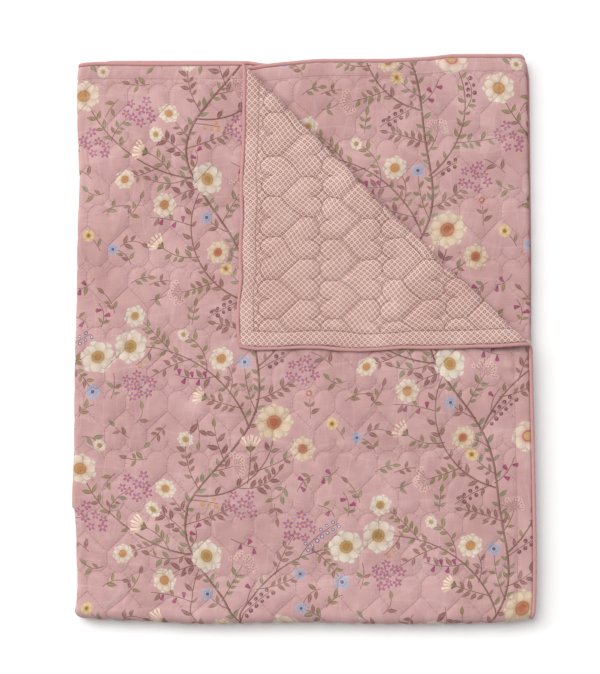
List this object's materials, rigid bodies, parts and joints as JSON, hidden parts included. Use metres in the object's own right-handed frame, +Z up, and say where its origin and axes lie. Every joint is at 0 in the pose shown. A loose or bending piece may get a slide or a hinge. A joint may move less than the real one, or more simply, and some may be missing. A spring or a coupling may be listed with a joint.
{
  "type": "folded quilt",
  "caption": "Heart-quilted bedspread folded in thirds and in half, bound all round, with one top corner turned back to show its reverse.",
  "frame": {"origin": "middle of the underside, on the surface that the folded quilt rests on", "axes": "+X to the right and +Y towards the bound ends as the turned corner is seen from above, +Z up"},
  "size_m": [0.8174, 1.0064, 0.0505],
  "materials": {
    "floral_cotton": "matt quilted cotton, dusty pink with a small trailing flower print",
    "printed_cotton": "matt quilted cotton with a fine cream lattice on pink",
    "piping_cotton": "matt plain cotton in a deeper pink"
  },
  "bodies": {
    "root": {"face_cloth": "floral_cotton", "reverse_cloth": "printed_cotton", "piping": "piping_cotton"}
  },
  "joints": []
}
